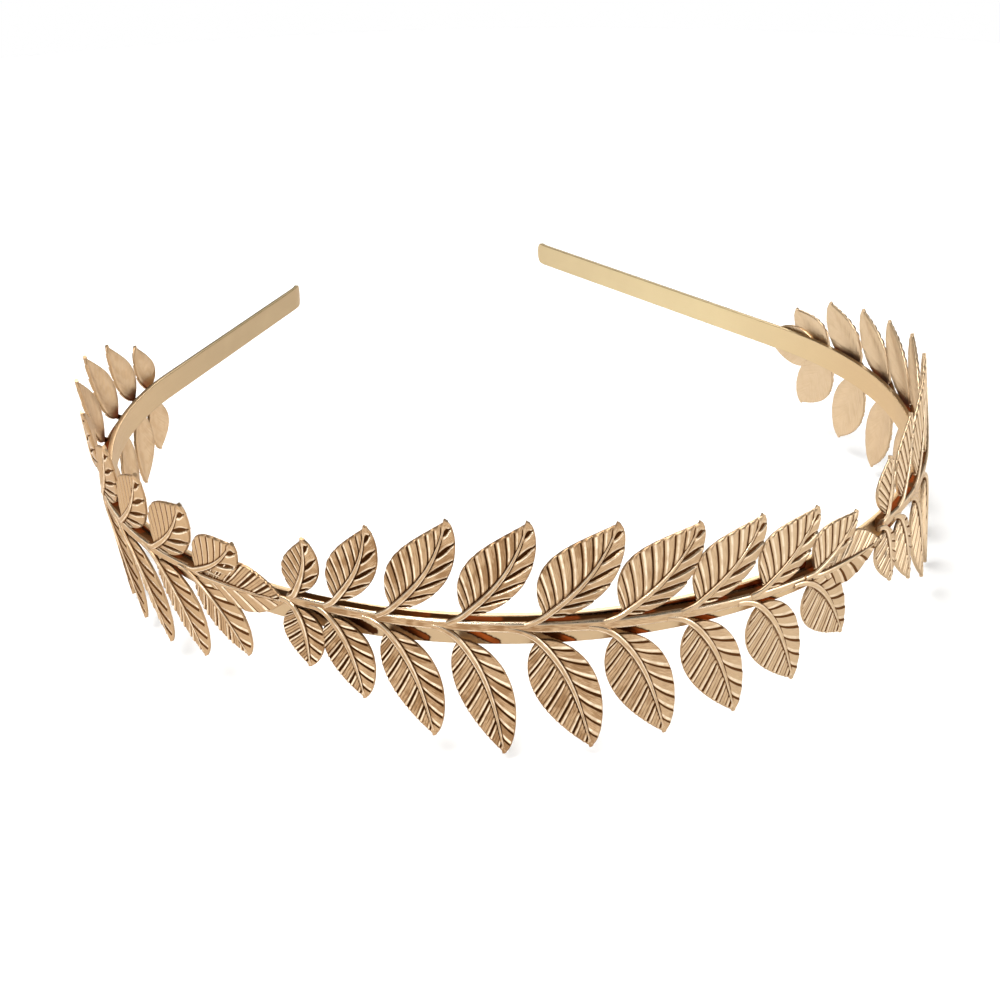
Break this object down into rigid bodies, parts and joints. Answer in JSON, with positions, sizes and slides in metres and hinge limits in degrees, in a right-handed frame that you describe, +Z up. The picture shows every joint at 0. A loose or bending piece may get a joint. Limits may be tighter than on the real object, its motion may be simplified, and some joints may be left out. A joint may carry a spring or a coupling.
{
  "type": "leaf tiara",
  "caption": "Metal headband tiara, open at the back, with raised sprays of veined leaves lying along the outside of a flat strip.",
  "frame": {"origin": "on the surface that the lowest leaf tips stand on, under the middle of the bounding box", "axes": "+Z up out of the crown of the head, -Y to the forehead, +Y to the open back, +X to the right as seen from the front"},
  "size_m": [0.1501, 0.1715, 0.04],
  "materials": {
    "pale_gold": "smooth satin strip",
    "gold": "stamped relief, bright on ribs and rims and darker in the furrows"
  },
  "bodies": {
    "root": {"band": "pale_gold", "spray_left": "gold", "spray_front": "gold", "spray_right": "gold"}
  },
  "joints": []
}
